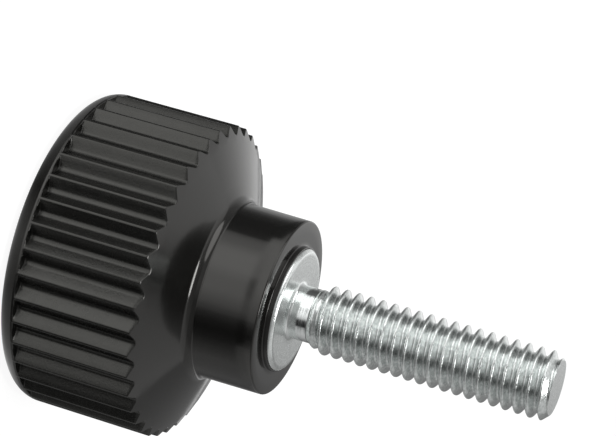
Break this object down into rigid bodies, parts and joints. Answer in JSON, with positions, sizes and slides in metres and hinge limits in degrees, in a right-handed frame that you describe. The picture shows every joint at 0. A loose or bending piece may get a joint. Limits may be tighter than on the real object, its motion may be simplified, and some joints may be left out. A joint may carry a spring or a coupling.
{
  "type": "knurled thumb screw",
  "caption": "Black moulded thumb screw with a ribbed grip, a dished front and a hub, on a zinc-plated steel stud with a seating collar.",
  "frame": {"origin": "centre of the rim of the dish, on the plane that the rim rests on", "axes": "+Z along the stud, from the rim of the dish to the stud's tip; +X through the middle of a rib"},
  "size_m": [0.0362, 0.0362, 0.0584],
  "materials": {
    "knob_plastic": "moulded black plastic, glossy on the rim, back face and hub, satin on the ribs",
    "plated_steel": "bright zinc plate over turned and rolled steel"
  },
  "bodies": {
    "root": {"knob": "knob_plastic", "threaded_insert": "plated_steel"}
  },
  "joints": []
}
